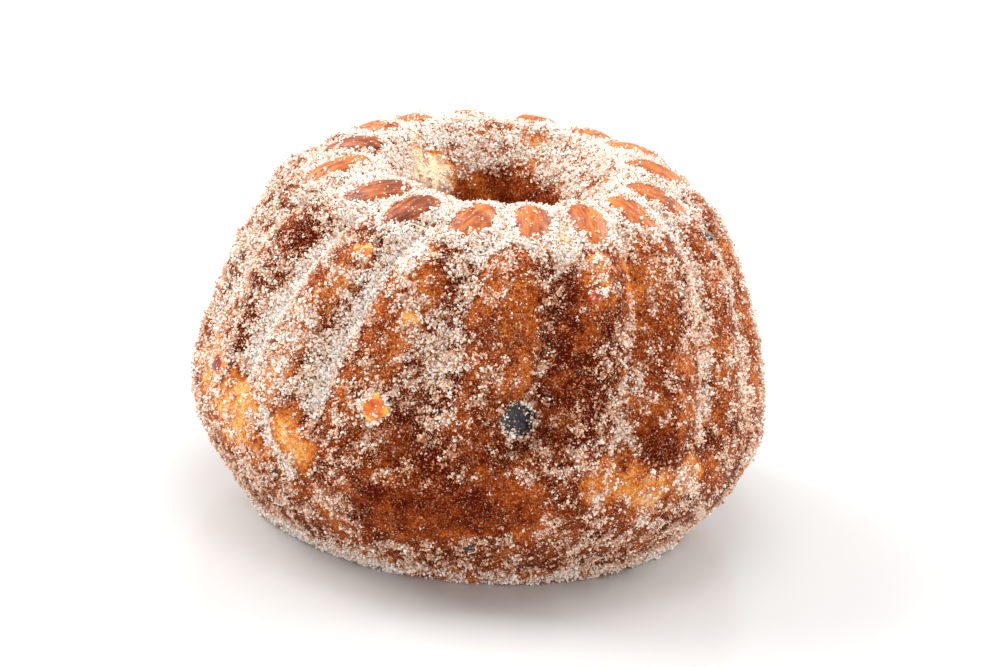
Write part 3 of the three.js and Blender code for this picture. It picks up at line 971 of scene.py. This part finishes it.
def add_bits(name, bits, material, tint):
    """Sets bits of fruit into the skin, as one piece."""
    shape = bmesh.new()
    spots = []
    for from_front, up, size, _ in bits:
        outside = Vector(near_skin(from_front, up, 150))
        spot, normal, _, _ = cake_tree.ray_cast(outside, Vector((-outside.x, -outside.y, 0)))
        block = bmesh.ops.create_cube(shape, size=size / 1000)["verts"]
        bmesh.ops.scale(shape, verts=block, vec=(1.0, *rng.uniform(0.6, 0.9, 2)))
        leaning = Matrix.Rotation(rng.uniform(0, math.pi), 3, Vector(rng.normal(size=3)))
        bmesh.ops.rotate(shape, verts=block, matrix=leaning)
        bmesh.ops.translate(shape, verts=block, vec=spot - normal * (BIT_SINK * size / 1000))
        spots.append(spot)
    soften(shape, 6, 9)
    mesh = bpy.data.meshes.new(name)
    shape.to_mesh(mesh)
    shape.free()
    mesh.shade_smooth()
    points = points_of(mesh)
    move_points(mesh, points + normals_of(mesh) * (0.0008 * lumps(points, 0.003, 70))[:, None])
    nearest = [min(range(len(spots)), key=lambda k: (spots[k] - Vector(point)).length) for point in points]
    store(mesh, "tone", [bits[k][3] for k in nearest])
    mesh.materials.append(material)
    piece = add_piece(name, mesh)
    sugar_by_height(piece, *BIT_SUGAR, tint, 72)
    return piece


fruit.append(add_bits("peel_bits", PEEL_BITS, candied_peel, 0.15))
fruit.append(add_bits("raisin_bits", RAISIN_BITS, raisin_skin, 0.3))

# %% [markdown]
# Loose sugar
#
# The grains that stand out are blocky crystals of half a millimetre to a millimetre. Geometry Nodes could
# strew them, but arrays are as short here and give full control: triangles are drawn by their area and
# their sugar, a random point in each becomes a grain, and all grains of a kind are joined in one mesh.
# Single grains, heaps in the dense places and clumps are separate kinds.

# %% Gather the beds
def bed_of(mesh):
    """A mesh's triangles: their corners, and the normals, the loose sugar and the grains' tint there."""
    mesh.calc_loop_triangles()
    corners = np.empty(3 * len(mesh.loop_triangles), dtype=np.int32)
    mesh.loop_triangles.foreach_get("vertices", corners)
    corners = corners.reshape(-1, 3)
    amount = np.empty(len(mesh.vertices), dtype=np.float32)
    mesh.attributes["loose_sugar"].data.foreach_get("value", amount)
    tint = np.empty(len(mesh.vertices), dtype=np.float32)
    mesh.attributes["grain_tint"].data.foreach_get("value", tint)
    return points_of(mesh)[corners], normals_of(mesh)[corners], amount[corners], tint[corners]


beds = [bed_of(piece.data) for piece in [cake, *almonds, *fruit]]
bed_points, bed_normals, bed_sugar, bed_tint = (np.concatenate(parts) for parts in zip(*beds))
bed_area = 0.5 * np.linalg.norm(
    np.cross(bed_points[:, 1] - bed_points[:, 0], bed_points[:, 2] - bed_points[:, 0]), axis=1
)
print("bed of", round(1e4 * float(bed_area.sum())), "square centimetres")

# %% Draw places for the grains
LONE_TINT, WHITENING = 0.25, 0.16  # what a lone grain is tinted more, and what any grain is tinted less


def strew(count, keenness):
    """Random places on the bed, their normals and the tint of a grain there.

    The keener, the more they keep to dense places, and a grain that lies alone is tinted a little more.
    """
    chance = bed_area * bed_sugar.mean(axis=1) ** keenness
    drawn = rng.choice(len(chance), count, p=chance / chance.sum())
    share = rng.dirichlet((1, 1, 1), count)[:, :, None]
    up = (bed_normals[drawn] * share).sum(axis=1)
    up = up / np.linalg.norm(up, axis=1)[:, None]
    tint = bed_tint[drawn].mean(axis=1) + LONE_TINT * (1 - bed_sugar[drawn].mean(axis=1)) - WHITENING
    return (bed_points[drawn] * share).sum(axis=1), up, tint


print("the bed has", len(bed_area), "triangles to draw from")

# %% Shape and join the grains
# Clear grains show more crust: partly true of clear crystals, and partly painted shade, as they stand for
# the dark gaps between grains.
CLEAR_AND_GAP_SHADE_SHARE, CLEAR_AND_GAP_SHADE_TINT = 0.22, 0.55  # how many grains are clear, and how much more crust they show
TINT_SPREAD = 0.23
NARROWEST, WIDEST = 0.7, 1.25  # how much a grain is squeezed or stretched each way
TABLE_GAP = 0.00005


def crystal(kind):
    """A grain of unit size: a brick, or a splinter with four faces."""
    shape = bmesh.new()
    if kind == "brick":
        bmesh.ops.create_cube(shape, size=0.8)
    else:
        bmesh.ops.create_cone(shape, cap_ends=True, segments=3, radius1=0.62, radius2=0, depth=0.9)
    points = np.array([vert.co for vert in shape.verts])
    faces = np.array([[vert.index for vert in face.verts] for face in shape.faces])
    shape.free()
    return points, faces


def add_grains(name, kind, places, sizes, tint):
    """Joins a grain at every place, each turned and stretched at random."""
    points, faces = crystal(kind)
    count = len(places)
    turns, _ = np.linalg.qr(rng.normal(size=(count, 3, 3)))
    turns[:, :, 0] *= np.sign(np.linalg.det(turns))[:, None]
    stretch = rng.uniform(NARROWEST, WIDEST, (count, 1, 3)) * sizes[:, None, None]
    grains = (points * stretch) @ turns + places[:, None]
    grains[:, :, 2] = np.maximum(grains[:, :, 2], TABLE_GAP)
    numbers = faces + np.arange(count)[:, None, None] * len(points)
    mesh = bpy.data.meshes.new(name)
    mesh.from_pydata(grains.reshape(-1, 3), [], numbers.reshape(-1, faces.shape[1]))
    mesh.materials.append(sugar_grain)
    # Partly painted shade: these darker, clear grains stand for the gaps between grains.
    clear = CLEAR_AND_GAP_SHADE_TINT * (rng.random(count) < CLEAR_AND_GAP_SHADE_SHARE)
    grain_tints = tint + clear + rng.normal(scale=TINT_SPREAD, size=count)
    store(mesh, "tint", np.repeat(grain_tints, len(points)))
    add_piece(name, mesh)
    triangles = len(mesh.polygons) * (faces.shape[1] - 2)
    print(name, "has", count, "grains and", triangles, "triangles")


print("faces of a brick:", len(crystal("brick")[1]), "and of a splinter:", len(crystal("splinter")[1]))

# %% Finish the sugar
SUGAR_SHADES = [
    (0.00, (0.95, 0.92, 0.88)),
    (0.30, (0.93, 0.77, 0.62)),
    (0.60, (0.78, 0.44, 0.27)),
    (1.00, (0.50, 0.17, 0.065)),
]

sugar_grain, tree, shader = new_finish("sugar_grain")
place = add_node(tree, "ShaderNodeTexCoord").outputs["Object"]
tint_value = add_node(tree, "ShaderNodeAttribute", attribute_name="tint").outputs["Fac"]
cloud = spread(tree, speckle(tree, place, 0.0008, 1), 0.3, 0.7, -0.08, 0.08)
tree.links.new(shades(tree, sum_of(tree, tint_value, cloud), SUGAR_SHADES), shader.inputs["Base Color"])
tree.links.new(spread(tree, cloud, -0.08, 0.08, 0.12, 0.30), shader.inputs["Roughness"])
shader.inputs["IOR"].default_value = 1.55
print("sugar finished with", len(tree.nodes), "nodes")

# %% Strew the sugar
LOOSE = [  # piece, shape, clumps, grains in each, keenness, smallest and largest (mm), lift in sizes
    ("sugar_coarse", "brick", 8000, 2, 1.5, 0.60, 0.95, 0.7),
    ("sugar_medium", "splinter", 9800, 5, 1.1, 0.52, 0.84, 0.7),
    ("sugar_fine", "splinter", 49000, 1, 0.7, 0.38, 0.62, 0.4),
    ("sugar_heaped", "splinter", 8000, 6, 2.2, 0.60, 0.95, 1.3),
    ("sugar_clumps", "splinter", 2450, 20, 1.2, 0.60, 1.05, 1.5),
]
CLUMP_SPREAD = 0.00022  # how far a grain lies from the middle of its clump, for a clump of one

for name, kind, clumps, grains, keenness, smallest, largest, lift in LOOSE:
    places, up, tint = (np.repeat(part, grains, axis=0) for part in strew(clumps, keenness))
    sizes = rng.uniform(smallest, largest, len(places)) / 1000
    aside = rng.normal(scale=CLUMP_SPREAD * math.sqrt(grains), size=places.shape)
    aside -= up * (aside * up).sum(axis=1)[:, None]
    raised = up * (sizes * rng.uniform(0.1, lift, len(sizes)))[:, None]
    add_grains(name, kind, places + aside + raised, sizes, tint)
